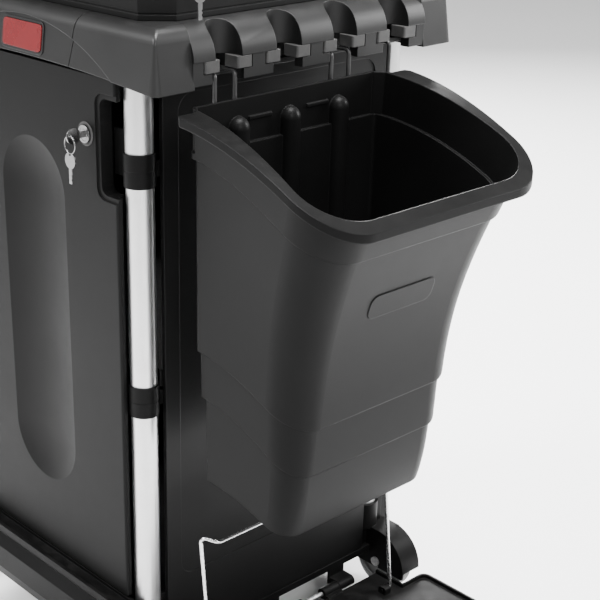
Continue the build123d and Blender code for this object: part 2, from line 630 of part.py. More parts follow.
def badge():
    """A plain plate lying in the skirt's recess."""
    depth = SKIRT_FACE - PANEL_ARCH_DEPTH - (BADGE_Z - DECK_BOTTOM) * tan(radians(DECK_TAPER))
    plate = Box(BADGE_LENGTH, BADGE_THICKNESS, BADGE_HEIGHT)
    plate = fillet(plate.edges().filter_by(Axis.Y), 6)
    return Pos(0, -depth - BADGE_THICKNESS / 2 - 0.1, BADGE_Z) * Rot(-DECK_TAPER, 0, 0) * plate


# ---------------------------------------------------------------- doors
def pill(depth_offset):
    """The smooth recess in a door: a long cylinder with round ends, sunk from outside."""
    radius = (PILL_HALF ** 2 + PILL_DEPTH ** 2) / (2 * PILL_DEPTH) + depth_offset
    centre_y = -DOOR_FACE - (radius - depth_offset) + PILL_DEPTH
    straight = rod_z(0, centre_y, PILL_BOTTOM + PILL_HALF, PILL_TOP - PILL_HALF, radius)
    ends = [Pos(0, centre_y, z) * Sphere(radius) for z in (PILL_BOTTOM + PILL_HALF, PILL_TOP - PILL_HALF)]
    shape = straight + ends[0] + ends[1]
    reach = PILL_HALF * 3
    return shape & block(-reach, reach, -DOOR_FACE - 40, 0, 0, DECK_TOP)


def door_left():
    back = -DOOR_FACE + DOOR_SKIN
    skin = block(-DOOR_EDGE_X, DOOR_EDGE_X, -DOOR_FACE, back, DOOR_BOTTOM, DOOR_TOP)
    skin = fillet(skin.edges().filter_by(Axis.Z), 3.5)
    pan_back = back + DOOR_PAN
    door = skin + block(-DOOR_PAN_X, DOOR_PAN_X, back - 1, pan_back, DOOR_BOTTOM + 8, DOOR_TOP - 8)
    door -= pill(0.0)
    hollow = block(-DOOR_PAN_X + 5, GRIP_X - 24, back, pan_back + 1, DOOR_BOTTOM + 14, DOOR_TOP - 14)
    hollow -= pill(4.0)
    hollow -= rod_y(LOCK_X, LOCK_Z, back - 2, pan_back + 2, LOCK_FACE + 6)
    door -= hollow
    grip = block(GRIP_X, DOOR_EDGE_X + 1, -DOOR_FACE - 1, pan_back + 1, GRIP_BOTTOM, GRIP_TOP)
    grip = fillet(grip.edges().filter_by(Axis.Y).group_by(Axis.X)[0], 12)
    door -= grip
    bevel = block(GRIP_X - 7, DOOR_EDGE_X + 1, -DOOR_FACE - 1, -DOOR_FACE + 2.5, GRIP_BOTTOM - 7, GRIP_TOP + 7)
    door -= fillet(bevel.edges().filter_by(Axis.Y).group_by(Axis.X)[0], 16)
    door -= rod_y(LOCK_X, LOCK_Z, -DOOR_FACE - 1, pan_back + 1, LOCK_BARREL + FIT)
    pin_y = -DOOR_FACE + DOOR_SKIN / 2
    for z0, z1 in ((DOOR_BOTTOM - 1, DOOR_BOTTOM + DOOR_PIN_LENGTH), (DOOR_TOP - DOOR_PIN_LENGTH, DOOR_TOP + 1)):
        door -= rod_z(-DOOR_PIN_X, pin_y, z0, z1, DOOR_PIN_RADIUS + FIT)
    return door


def door_pins():
    pins = []
    pin_y = -DOOR_FACE + DOOR_SKIN / 2
    for z0, z1 in ((BASE_TOP - 15.5, DOOR_BOTTOM + DOOR_PIN_LENGTH - 1),
                   (DOOR_TOP - DOOR_PIN_LENGTH + 1, DOOR_TOP + 19.5)):
        pin = rod_z(-DOOR_PIN_X, pin_y, z0, z1, DOOR_PIN_RADIUS)
        pins += [pin, half_turn(pin)]
    return group(pins)


def lock(depth):
    """A cam lock along +Y with its face at the origin: face, barrel and an upright cam behind the panel."""
    cam_y = depth + CAM_BEHIND
    face = Pos(0, -2, 0) * Rot(90, 0, 0) * Cylinder(LOCK_FACE, 3.4)
    face -= Pos(0, -4.2, 0) * Rot(90, 0, 0) * (Cylinder(LOCK_FACE - 3, 2) - Cylinder(LOCK_FACE - 5.5, 3))
    barrel = Pos(0, cam_y / 2 - 1, 0) * Rot(90, 0, 0) * Cylinder(LOCK_BARREL, cam_y)
    cam = Pos(0, cam_y, CAM_LENGTH / 2 - CAM_HEEL) * Box(2 * CAM_HEEL, 3, CAM_LENGTH)
    body = face + barrel + cam
    slot = Pos(0, -3, 0) * Box(2.4, 14, 8.4)
    return body - slot


def key():
    """A key standing in the lock's slot, with a round bow."""
    blade = Pos(0, -4, 0) * Box(2, 11, 8)
    bow = Pos(0, -20, 0) * Rot(0, 90, 0) * Cylinder(11, 2)
    eye = Pos(0, -26, 0) * Rot(0, 90, 0) * Cylinder(2.6, 4)
    neck = Pos(0, -11.5, 0) * Box(2, 5, 6)
    return blade + neck + bow - eye


def keyring():
    """A split ring through the key's eye with a second key hanging from it."""
    ring = Pos(0, -26, -10.5) * Rot(90, 0, 0) * Torus(11.5, 0.9)
    bow = Pos(0, -26, -31.5) * Rot(90, 0, 0) * Cylinder(11, 1.8)
    bow -= Pos(0, -26, -22) * Rot(90, 0, 0) * Cylinder(3.0, 4)
    blade = Pos(0, -26, -52) * Box(6, 1.8, 22)
    notch = Pos(3, -26, -52) * Box(2, 3, 3)
    spare = bow + blade - notch - Pos(0, 0, -5) * notch
    return group([ring, spare])


def place_left_lock(shape):
    return Pos(LOCK_X, -DOOR_FACE, LOCK_Z) * shape


def place_hood_lock(shape):
    return Pos(HOOD_HALF_LENGTH, HOOD_LOCK_Y, HOOD_LOCK_Z) * Rot(0, 0, 90) * shape


# ---------------------------------------------------------------- hood
def hood_outline(inset):
    outline = Rectangle(2 * (HOOD_HALF_LENGTH - inset), 2 * (HOOD_HALF_WIDTH - inset))
    return chamfer(outline.vertices(), HOOD_CORNER - 0.6 * inset)


def hood_base():
    low = DECK_TOP + SEAT
    body = prism_z(hood_outline(0), low, HOOD_SPLIT)
    body -= prism_z(hood_outline(HOOD_WALL), low + HOOD_WALL, HOOD_SPLIT + 1)
    body += prism_z(hood_outline(2), low, low + 6)
    groove = prism_z(hood_outline(-2), low + 7, low + 9) - prism_z(hood_outline(1.2), low + 6, low + 10)
    body -= groove
    for x in (-HINGE_X, HINGE_X):
        third = HINGE_LENGTH / 6
        for y0 in (-3 * third, third):
            body += hood_knuckle(x + y0, x + y0 + 2 * third - 0.3, -1)
    body -= rod_x(HOOD_HALF_WIDTH + HINGE_BARREL, HOOD_SPLIT + GAP / 2, -HINGE_X - 60, HINGE_X + 60,
                  HINGE_RADIUS + FIT)
    body -= place_hood_lock(Rot(90, 0, 0) * Cylinder(LOCK_BARREL + FIT, 40))
    return body


def hood_knuckle(x0, x1, side):
    """One barrel of the hood's hinge with its leaf, on the base for side -1 and on the lid for side 1."""
    axis_y = HOOD_HALF_WIDTH + HINGE_BARREL
    axis_z = HOOD_SPLIT + GAP / 2
    knuckle = rod_x(axis_y, axis_z, x0, x1, HINGE_BARREL - 0.7)
    z0, z1 = (axis_z - 26, axis_z - GAP) if side < 0 else (axis_z + GAP, axis_z + 26)
    leaf = block(x0, x1, HOOD_HALF_WIDTH - 2, HOOD_HALF_WIDTH + 3, z0, z1)
    arm = block(x0, x1, HOOD_HALF_WIDTH + 1, axis_y, min(axis_z, axis_z + side * 5), max(axis_z, axis_z + side * 5))
    return knuckle + leaf + arm


def hood_lid():
    low = HOOD_SPLIT + GAP
    body = prism_z(hood_outline(0), low, CART_HEIGHT)
    body = fillet(body.faces().sort_by(Axis.Z)[-1].edges(), HOOD_EDGE)
    inner = prism_z(hood_outline(HOOD_WALL), low - 1, CART_HEIGHT - HOOD_WALL)
    body -= fillet(inner.faces().sort_by(Axis.Z)[-1].edges(), HOOD_EDGE - HOOD_WALL)
    well = prism_z(hood_outline(46), CART_HEIGHT - 3, CART_HEIGHT + 1)
    body -= well
    for x in (-HINGE_X, HINGE_X):
        third = HINGE_LENGTH / 6
        body += hood_knuckle(x - third, x + third - 0.3, 1)
    body -= rod_x(HOOD_HALF_WIDTH + HINGE_BARREL, HOOD_SPLIT + GAP / 2, -HINGE_X - 60, HINGE_X + 60,
                  HINGE_RADIUS + FIT)
    return body


def hood_pins():
    half = HINGE_LENGTH / 2 + 1.5
    y = HOOD_HALF_WIDTH + HINGE_BARREL
    return group([rod_x(y, HOOD_SPLIT + GAP / 2, x - half, x + half, HINGE_RADIUS) for x in (-HINGE_X, HINGE_X)])


# ---------------------------------------------------------------- bin
def bin_outline(back, back_half, front, front_half, corner, inset):
    """A trapezoid in plan with large front corners."""
    x0, x1 = back + inset, front - inset
    y0, y1 = back_half - inset, front_half - inset
    face = polygon((x0, BIN_MIDDLE - y0), (x1, BIN_MIDDLE - y1), (x1, BIN_MIDDLE + y1), (x0, BIN_MIDDLE + y0))
    corners = face.vertices().group_by(Axis.X)
    face = fillet(corners[-1], corner - inset)
    return fillet(face.vertices().group_by(Axis.X)[0], max(8.0 - inset, 1.5))


def bin_loft(inset):
    """The bin's body before it is cut into tiers, with a front that leans in towards the bottom."""
    stations = [
        (BIN_BOTTOM - 80, 160.0, BIN_FRONT - 132, 150.0, 44.0),
        (BIN_BOTTOM + 130, 164.0, BIN_FRONT - 97, 159.0, 50.0),
        (BIN_BOTTOM + 248, 165.0, BIN_FRONT - 81, 166.0, 55.0),
        (BIN_BOTTOM + 360, 165.0, BIN_FRONT - 46, 180.0, 60.0),
        (BIN_TOP + 10, 166.0, BIN_FRONT + 8, 200.0, 68.0),
    ]
    faces = []
    for z, back_half, front, front_half, corner in stations:
        face = bin_outline(BIN_BACK, back_half, front, front_half, corner, inset)
        faces.append(Plane(origin=(0, 0, z)) * face)
    return loft(faces)


def falling_edges(z, drop, reach):
    """A curve in X and Z that is level at the back of the bin and falls towards the front."""
    steps = 6
    points = []
    for i in range(steps + 1):
        t = i / steps
        points.append((BIN_BACK + t * reach, z - drop * t ** BIN_CURVE))
    slope = BIN_CURVE * drop / reach
    over = BIN_FRONT + 60 - BIN_BACK - reach
    end = (points[-1][0] + over, points[-1][1] - slope * over)
    start = (BIN_BACK - 60, z)
    spline = Spline(*points, tangents=((1, 0), (1, -slope)))
    return [Line(start, points[0]), spline, Line(points[-1], end)], start, end


def falling_slab(top, low, wide):
    """A prism over the bin between two falling curves, each given as height, drop and reach."""
    upper, start_up, end_up = falling_edges(*top)
    lower, start_low, end_low = falling_edges(*low)
    face = make_face(upper + lower + [Line(end_up, end_low), Line(start_low, start_up)])
    return prism_y(face, BIN_MIDDLE - wide, BIN_MIDDLE + wide)


def rim_outline():
    """The rim seen from above: two ears behind, and large front corners."""
    ear_x = BIN_BACK + 24
    points = [(BIN_BACK, BIN_BACK_HALF), (BIN_BACK + 14, BIN_BACK_HALF + 4), (ear_x - 10, BIN_EAR - 6),
              (ear_x, BIN_EAR), (BIN_FRONT, BIN_RIM_FRONT)]
    right = [(x, BIN_MIDDLE + y) for x, y in points]
    left = [(x, BIN_MIDDLE - y) for x, y in reversed(points)]
    face = polygon(*right, *left)
    return fillet(face.vertices().group_by(Axis.X)[-1], BIN_RIM_CORNER)


def notch(side, margin):
    """The pocket at a back corner of the bin where the hanger's end stands."""
    y0 = BIN_BACK_HALF - margin
    points = [(BIN_BACK - 10, y0), (BIN_BACK, y0), (BIN_BACK + BIN_NOTCH + margin, y0 + 15),
              (BIN_BACK + BIN_NOTCH + margin, BIN_EAR + 30), (BIN_BACK - 10, BIN_EAR + 30)]
    face = polygon(*[(x, BIN_MIDDLE + side * y) for x, y in points])
    return prism_z(face, BIN_NOTCH_BOTTOM - margin, BIN_TOP + 30)


def raised(curve, height):
    return (curve[0] + height, curve[1], curve[2])


def waste_bin():
    reach = BIN_FRONT - BIN_BACK
    wide = BIN_EAR + 60
    curves = [
        (BIN_TOP, BIN_RIM_DROP, reach),
        (BIN_TOP - BIN_COLLAR, BIN_RIM_DROP - 20, reach - 46),
        (BIN_BOTTOM + BIN_STEPS[0], BIN_RIM_DROP - 34, reach - 101),
        (BIN_BOTTOM + BIN_STEPS[1], BIN_RIM_DROP - 32, reach - 111),
        (BIN_BOTTOM, BIN_RIM_DROP - 58, reach - 121),
    ]
    shell = None
    space = None
    for tier in range(4):
        inset = (tier - 1) * BIN_STEP
        top, low = curves[tier], curves[tier + 1]
        outer = bin_loft(inset) & falling_slab(top, low, wide)
        open_top = raised(top, 20 if tier == 0 else BIN_WALL + 0.5)
        inner = bin_loft(inset + BIN_WALL) & falling_slab(open_top, raised(low, BIN_WALL + 0.5), wide)
        shell = outer if shell is None else shell + outer
        space = inner if space is None else space + inner
    rim = prism_z(rim_outline(), BIN_TOP - BIN_RIM_DROP - 120, BIN_TOP + 30)
    rim &= falling_slab(curves[0], raised(curves[0], -BIN_RIM_DEPTH), wide)
    shell += rim
    body = shell
    shell += bin_plate()
    shell -= space
    body_above = falling_slab(curves[0], raised(curves[1], -2), wide)
    inside = bin_loft(-BIN_STEP)
    for side in (-1, 1):
        shell += notch(side, BIN_WALL) & body_above & inside
        shell -= notch(side, 0.0)
    back = BIN_BACK + BIN_WALL - 3
    for i in (-1, 0, 1):
        y = BIN_MIDDLE + i * FLUTE_PITCH
        flute = rod_z(back, y, BIN_BOTTOM + 2, FLUTE_TOP - FLUTE_RADIUS, FLUTE_RADIUS)
        flute += Pos(back, y, FLUTE_TOP - FLUTE_RADIUS) * Sphere(FLUTE_RADIUS)
        shell += flute & body
    for side in (-1, 1):
        y = BIN_MIDDLE + side * HOOK_OFFSET
        top = HANGER_Z + HANGER_STRIP / 2
        hook = block(HANGER_X - 8, BIN_BACK + 1, y - HOOK_HALF, y + HOOK_HALF, top + SEAT, top + 5)
        hook += block(HANGER_X - 8, HANGER_X - 4.5, y - HOOK_HALF, y + HOOK_HALF, top - 15, top + 5)
        shell += hook
    return shell.solids().sort_by(SortBy.VOLUME)[-1]


def bin_plate():
    """A plain raised field moulded on the bin's front, which follows its curve."""
    outline = Pos(BIN_MIDDLE, PLATE_Z) * RectangleRounded(PLATE_WIDTH, PLATE_HEIGHT, PLATE_CORNER)
    return bin_loft(-PLATE_RISE) & prism_x(outline, BIN_BACK + 100, BIN_FRONT)


def bin_hanger():
    """A flat strip behind the bin, hung on wires that hook over the rail's inner ledge."""
    strip_back = HANGER_X - 2
    low, high = HANGER_Z - HANGER_STRIP / 2, HANGER_Z + HANGER_STRIP / 2
    loops = [SLOTS[0] - HANGER_HALF, SLOTS[0] + HANGER_HALF, SLOTS[2] - HANGER_HALF, SLOTS[2] + HANGER_HALF,
             SLOTS[3] - 6]
    strip = block(strip_back, strip_back + 3, loops[0] - 6, loops[-1] + 6, low, high)
    over = BLOCK_BOTTOM + LEDGE_HEIGHT + HANGER_WIRE + SEAT
    end = RAIL_FACE - SHOULDER - LEDGE_DEPTH
    for y in loops:
        points = [(HANGER_X - 3.5, y, low + 2), (HANGER_X - 3.5, y, over), (end, y, over), (end, y, over - 14)]
        strip += wire(points, [6, 5], HANGER_WIRE)
    return strip


# ---------------------------------------------------------------- platforms
def platform_outline(inset):
    """A T in plan: narrow between the wheels, wide beyond them."""
    start = HINGE_LINE_X + KNUCKLE + 4 + inset
    neck_end = NECK_END_X + inset
    end = HINGE_LINE_X + PLATFORM_LENGTH - inset
    neck, wide = PLATFORM_NECK - inset, PLATFORM_HALF - inset
    face = polygon((start, -neck), (neck_end, -neck), (neck_end, -wide), (end, -wide),
                   (end, wide), (neck_end, wide), (neck_end, neck), (start, neck))
    outer = face.vertices().group_by(Axis.X)[-1]
    face = fillet(outer, 40 - inset)
    shoulders = [v for v in face.vertices() if abs(v.X - neck_end) < 0.1 and abs(abs(v.Y) - wide) < 0.1]
    return fillet(shoulders, 14 - inset)


def platform():
    rim_top = PLATFORM_TOP + PLATFORM_RIM
    plate = prism_z(platform_outline(0), PLATFORM_UNDER, rim_top)
    plate -= prism_z(platform_outline(4), PLATFORM_TOP, rim_top + 1)
    plate -= prism_z(platform_outline(4), PLATFORM_UNDER - 1, PLATFORM_TOP - PLATFORM_SKIN)
    start = HINGE_LINE_X + KNUCKLE + 4
    plate -= block(start - 1, start + 5, -PLATFORM_NECK + 4, PLATFORM_NECK - 4, PLATFORM_TOP, rim_top + 1)
    end = HINGE_LINE_X + PLATFORM_LENGTH
    for y in (-150, -75, 0, 75, 150):
        plate += block(start + 2, end - 3, y - 1.5, y + 1.5, PLATFORM_UNDER + 2, PLATFORM_TOP - PLATFORM_SKIN + 1)
    for x in (end - 190, end - 110):
        raised_field = block(x, x + 60, -210, 210, PLATFORM_TOP - 1, PLATFORM_TOP + 2)
        plate += fillet(raised_field.edges().filter_by(Axis.Z), 18)
    pivot_x = HINGE_LINE_X + BAIL_OFFSET
    pivot_z = PLATFORM_TOP + BAIL_PIVOT
    for side in (-1, 1):
        centre = side * (KNUCKLE_Y - KNUCKLE_LENGTH - 1)
        for y in (centre, side * (KNUCKLE_LENGTH + 1)):
            half = KNUCKLE_LENGTH / 2
            plate += rod_y(HINGE_LINE_X, HINGE_LINE_Z, y - half, y + half, KNUCKLE)
            plate += block(HINGE_LINE_X, start + 3, y - half, y + half, PLATFORM_TOP - 6, HINGE_LINE_Z)
        boss = block(pivot_x - 8, pivot_x + 8, side * (BAIL_HALF - 19), side * (BAIL_HALF - 6),
                     PLATFORM_TOP - 1, pivot_z + 6)
        plate += fillet(boss.edges().filter_by(Axis.Y).group_by(Axis.Z)[-1], 5)
        plate -= rod_y(pivot_x, pivot_z, side * (BAIL_HALF - 20), side * (BAIL_HALF - 5), BAIL_WIRE + FIT)
        slot = block(pivot_x + 22, pivot_x + 30, side * 96, side * 158, PLATFORM_UNDER, PLATFORM_TOP + 1)
        plate -= fillet(slot.edges().filter_by(Axis.Z), 3.9)
    plate -= rod_y(HINGE_LINE_X, HINGE_LINE_Z, -PLATFORM_HALF, PLATFORM_HALF, PLATFORM_PIN + FIT)
    return plate


def bail():
    """The upright wire loop on a platform, with feet turned into the platform's bosses."""
    x = HINGE_LINE_X + BAIL_OFFSET
    z = PLATFORM_TOP + BAIL_PIVOT
    top = z + BAIL_HEIGHT
    head = x - BAIL_LEAN
    half = [(x, BAIL_HALF - 16, z), (x, BAIL_HALF, z), (head, BAIL_HALF, top),
            (head + BAIL_JOG, BAIL_HALF - 14, top - 4)]
    points = half + [(px, -py, pz) for px, py, pz in reversed(half)]
    return wire(points, [4.5, 8, 12, 12, 8, 4.5], BAIL_WIRE)


def platform_pins():
    reach = KNUCKLE_Y + KNUCKLE_LENGTH / 2 + 1.5
    pin = rod_y(HINGE_LINE_X, HINGE_LINE_Z, -reach, reach, PLATFORM_PIN)
    return group([pin, half_turn(pin)])


# ---------------------------------------------------------------- wheels
def tyre(x, y):
    half = WHEEL_WIDTH / 2
    ring = rod_y(x, WHEEL_RADIUS, y - half, y + half, WHEEL_RADIUS)
    ring = fillet(ring.edges().filter_by(GeomType.CIRCLE), 5)
    return ring - rod_y(x, WHEEL_RADIUS, y - half - 1, y + half + 1, WHEEL_RADIUS - TREAD)


def hub(x, y):
    half = WHEEL_WIDTH / 2
    radius = WHEEL_RADIUS - TREAD
    core = rod_y(x, WHEEL_RADIUS, y - half + 1, y + half - 1, radius)
    for side in (-1, 1):
        dish = rod_y(x, WHEEL_RADIUS, y + side * (half - 6), y + side * (half + 1), radius - 5)
        core -= dish - rod_y(x, WHEEL_RADIUS, y - WHEEL_WIDTH, y + WHEEL_WIDTH, 13)
    core += rod_y(x, WHEEL_RADIUS, y - half - 1.5, y + half + 1.5, 10)
    return core - rod_y(x, WHEEL_RADIUS, y - WHEEL_WIDTH, y + WHEEL_WIDTH, AXLE_RADIUS + FIT)


def fixed_axle(side):
    low, high = WELL_IN - 2, WELL_OUT + 2
    axle = rod_y(WHEEL_X, WHEEL_RADIUS, side * low, side * high, AXLE_RADIUS)
    for y in (side * WELL_IN, side * WELL_OUT):
        outward = 1 if y > side * WHEEL_Y else -1
        axle += rod_y(WHEEL_X, WHEEL_RADIUS, y + outward * 0.1, y + outward * 3, AXLE_RADIUS + 3)
    return axle


def caster_plate(y):
    """The fixed plate of a caster with its kingpin."""
    low = FORK_CROWN + SEAT
    size = CASTER_PLATE_HALF
    plate = block(CASTER_X - size, CASTER_X + size, y - size, y + size, low, low + CASTER_PLATE)
    plate = fillet(plate.edges().filter_by(Axis.Z), 6)
    for dx in (-BOLT_OFFSET, BOLT_OFFSET):
        for dy in (-BOLT_OFFSET, BOLT_OFFSET):
            plate -= rod_z(CASTER_X + dx, y + dy, low - 1, low + CASTER_PLATE + 1, 3 + FIT)
    crown_low = FORK_CROWN - 5
    plate += rod_z(CASTER_X, y, crown_low - 0.4, low + 1, KINGPIN_RADIUS)
    return plate + rod_z(CASTER_X, y, crown_low - 3.2, crown_low - 0.3, KINGPIN_RADIUS + 3)


def caster_fork(y):
    crown_low = FORK_CROWN - 5
    fork = rod_z(CASTER_X, y, crown_low, FORK_CROWN, 26)
    inner = WHEEL_WIDTH / 2 + 2.5
    wheel_x = CASTER_X - CASTER_TRAIL
    for side in (-1, 1):
        legs = polygon((CASTER_X - 20, FORK_CROWN - 1), (CASTER_X + 18, FORK_CROWN - 1),
                       (wheel_x + 11, WHEEL_RADIUS - 6), (wheel_x - 11, WHEEL_RADIUS - 6))
        leg = prism_y(legs, min(side * inner, side * (inner + FORK_WALL)) + y,
                      max(side * inner, side * (inner + FORK_WALL)) + y)
        leg += rod_y(wheel_x, WHEEL_RADIUS, y + side * inner, y + side * (inner + FORK_WALL), 12)
        fork += leg
    fork -= rod_z(CASTER_X, y, 90, FORK_CROWN + 1, KINGPIN_RADIUS + FIT)
    return fork - rod_y(wheel_x, WHEEL_RADIUS, y - 40, y + 40, AXLE_RADIUS + FIT)


def caster_axle(y):
    wheel_x = CASTER_X - CASTER_TRAIL
    outer = WHEEL_WIDTH / 2 + 2.5 + FORK_WALL
    axle = rod_y(wheel_x, WHEEL_RADIUS, y - outer - 1, y + outer + 1, AXLE_RADIUS)
    for side in (-1, 1):
        axle += rod_y(wheel_x, WHEEL_RADIUS, y + side * (outer + 0.1), y + side * (outer + 3), AXLE_RADIUS + 3)
    return axle


def caster_bolts():
    bolts = []
    low = FORK_CROWN + SEAT
    for side in (-1, 1):
        for dx in (-BOLT_OFFSET, BOLT_OFFSET):
            for dy in (-BOLT_OFFSET, BOLT_OFFSET):
                x, y = CASTER_X + dx, side * CASTER_Y + dy
                bolt = rod_z(x, y, low - 0.5, low + CASTER_PLATE - 0.1, 3)
                bolts.append(bolt + rod_z(x, y, low - 3.6, low - 0.1, 4.5))
    return group(bolts)


# ---------------------------------------------------------------- assembly
def main():
    save("base_tray", base_tray())
    for end, end_name in ((1, "bin_end"), (-1, "bag_end")):
        for side, side_name in ((-1, "left"), (1, "right")):
            save(f"post_{end_name}_{side_name}", post(end * POST_X, side * POST_Y))
    save("post_collars", post_collars())
    corners = [(end * POST_X, side * POST_Y, z) for end in (-1, 1) for side in (-1, 1) for z in COLLARS]
    save("collar_screws", group([collar_screw(*c) for c in corners]))
    save("end_panel_bin_end", end_panel())
    save("end_panel_bag_end", half_turn(end_panel()))
    save("shelf", shelf())

    shell = deck_shell()
    save("deck", deck_middle(shell))
    rail = tool_rail(shell)
    save("tool_rail_bin_end", rail)
    save("tool_rail_bag_end", half_turn(rail))
    save("rail_jaws_bin_end", rail_jaws())
    save("rail_jaws_bag_end", half_turn(rail_jaws()))
    save("badges", group([badge(), half_turn(badge())]))

    door = door_left()
    save("door_left", door)
    save("door_right", half_turn(door))
    save("door_pins", door_pins())
    door_lock = lock(DOOR_SKIN + DOOR_PAN)
    hood_lock = lock(HOOD_WALL)
    pieces = (("lock", None), ("key", key()), ("keyring", keyring()))
    for name, shape in pieces:
        left = place_left_lock(door_lock if shape is None else shape)
        save(f"{name}_left_door", left)
        save(f"{name}_right_door", half_turn(left))
        save(f"{name}_hood", place_hood_lock(hood_lock if shape is None else shape))

    save("hood_base", hood_base())
    save("hood_lid", hood_lid())
    save("hood_pins", hood_pins())

    save("waste_bin", waste_bin())
    save("bin_hanger", bin_hanger())

    plate = platform()
    wire_loop = bail()
    save("platform_bin_end", plate)
    save("platform_bag_end", half_turn(plate))
    save("bail_bin_end", wire_loop)
    save("bail_bag_end", half_turn(wire_loop))
    save("platform_pins", platform_pins())

    for side, side_name in ((-1, "left"), (1, "right")):
        save(f"tyre_bin_end_{side_name}", tyre(WHEEL_X, side * WHEEL_Y))
        save(f"hub_bin_end_{side_name}", hub(WHEEL_X, side * WHEEL_Y))
        wheel_x, wheel_y = CASTER_X - CASTER_TRAIL, side * CASTER_Y
        save(f"tyre_bag_end_{side_name}", tyre(wheel_x, wheel_y))
        save(f"hub_bag_end_{side_name}", hub(wheel_x, wheel_y))
        save(f"caster_plate_{side_name}", caster_plate(wheel_y))
        save(f"caster_fork_{side_name}", caster_fork(wheel_y))
        save(f"caster_axle_{side_name}", caster_axle(wheel_y))
    save("fixed_axles", group([fixed_axle(-1), fixed_axle(1)]))
    save("caster_bolts", caster_bolts())


main()
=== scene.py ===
# %% [markdown]
# # A housekeeping cart
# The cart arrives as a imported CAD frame: posts, deck, doors, hood, bin, platforms and wheels, each
# on the body that moves it. This lesson gives each part its finish, adds the small fittings that
# make the cart look used and real, and sets up a plain studio round it.

# %% Load the frame
import bpy, bmesh, math
from mathutils import Matrix, Vector


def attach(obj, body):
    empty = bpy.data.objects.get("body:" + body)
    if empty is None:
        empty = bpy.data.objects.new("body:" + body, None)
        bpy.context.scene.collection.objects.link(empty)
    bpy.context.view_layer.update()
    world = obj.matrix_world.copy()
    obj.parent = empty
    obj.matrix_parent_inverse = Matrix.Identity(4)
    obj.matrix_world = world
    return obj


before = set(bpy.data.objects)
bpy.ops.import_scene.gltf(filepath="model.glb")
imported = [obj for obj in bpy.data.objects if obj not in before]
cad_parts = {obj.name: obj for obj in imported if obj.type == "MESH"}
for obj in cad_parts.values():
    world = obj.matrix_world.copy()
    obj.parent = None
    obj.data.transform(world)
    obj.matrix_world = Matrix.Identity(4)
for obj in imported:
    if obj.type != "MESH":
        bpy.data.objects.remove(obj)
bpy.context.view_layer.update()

# %% [markdown]
# The camera stands off the corner between the left door and the bin, a little above the deck,
# and looks down at the bin. A long lens keeps the posts nearly parallel. The lens is shifted
# rather than turned, because a shift keeps upright edges upright; only a part of the framing is
# done by the shift, so that the other views stay well inside their frame.

# %% Camera
camera = bpy.data.objects.new("camera", bpy.data.cameras.new("camera"))
bpy.context.scene.collection.objects.link(camera)
camera.location = (1.5385, -1.2810, 1.3026)
camera.rotation_mode = "QUATERNION"
camera.rotation_quaternion = Vector((-0.6934, 0.6007, -0.3981)).to_track_quat("-Z", "Y")
camera.data.lens = 81.1
camera.data.sensor_width = 36.0
camera.data.shift_x = 0.160
camera.data.shift_y = 0.080
camera.data.clip_start = 0.05
bpy.context.scene.camera = camera
print("camera at", tuple(camera.location), "lens", camera.data.lens)

# %% [markdown]
# A product is photographed on a sweep: a floor that curves up into a wall, so that there is no
# horizon. A large pale disc and a white surround do the same job. Black plastic shows little of
# its own colour. What the eye reads is the reflection of the lamps, so the lamps are wide and soft.

# %% Floor and studio light
def disc_mesh(name, radius, steps):
    mesh = bpy.data.meshes.new(name)
    bm = bmesh.new()
    bmesh.ops.create_circle(bm, cap_ends=True, radius=radius, segments=steps)
    bm.to_mesh(mesh)
    bm.free()
    return mesh


floor = bpy.data.objects.new("floor", disc_mesh("floor", 14.0, 96))
bpy.context.scene.collection.objects.link(floor)


def lamp(name, place, target, size, power):
    light = bpy.data.objects.new(name, bpy.data.lights.new(name, "AREA"))
    bpy.context.scene.collection.objects.link(light)
    light.data.shape = "RECTANGLE"
    light.data.size, light.data.size_y = size
    light.data.energy = power
    light.location = place
    light.rotation_mode = "QUATERNION"
    light.rotation_quaternion = (Vector(target) - Vector(place)).to_track_quat("-Z", "Y")
    print("lamp", name, power, "W")


lamp("key", (-1.6, -3.2, 3.0), (0.0, 0.0, 0.7), (1.4, 1.4), 230)
lamp("front", (3.4, -1.2, 2.6), (0.4, 0.0, 0.7), (1.0, 1.0), 90)
lamp("top", (0.5, 0.2, 3.6), (0.3, 0.0, 0.9), (2.0, 1.4), 380)
lamp("edge", (1.6, 3.2, 2.0), (0.4, 0.1, 0.7), (0.8, 1.6), 150)
lamp("back", (-2.6, 2.4, 2.6), (0.0, 0.0, 0.9), (2.4, 1.2), 480)

surround = bpy.data.worlds.new("surround")
bpy.context.scene.world = surround
surround.use_nodes = True
surround.node_tree.nodes["Background"].inputs["Color"].default_value = (1.0, 1.0, 1.0, 1.0)
surround.node_tree.nodes["Background"].inputs["Strength"].default_value = 0.75

# %% [markdown]
# A finish is a small program that runs at each point of a surface. Written out as wires between
# boxes it is hard to read, so one class wraps a socket and lets it be used in sums, and a second
# one holds the material and makes any other node from its type, its settings and its inputs.

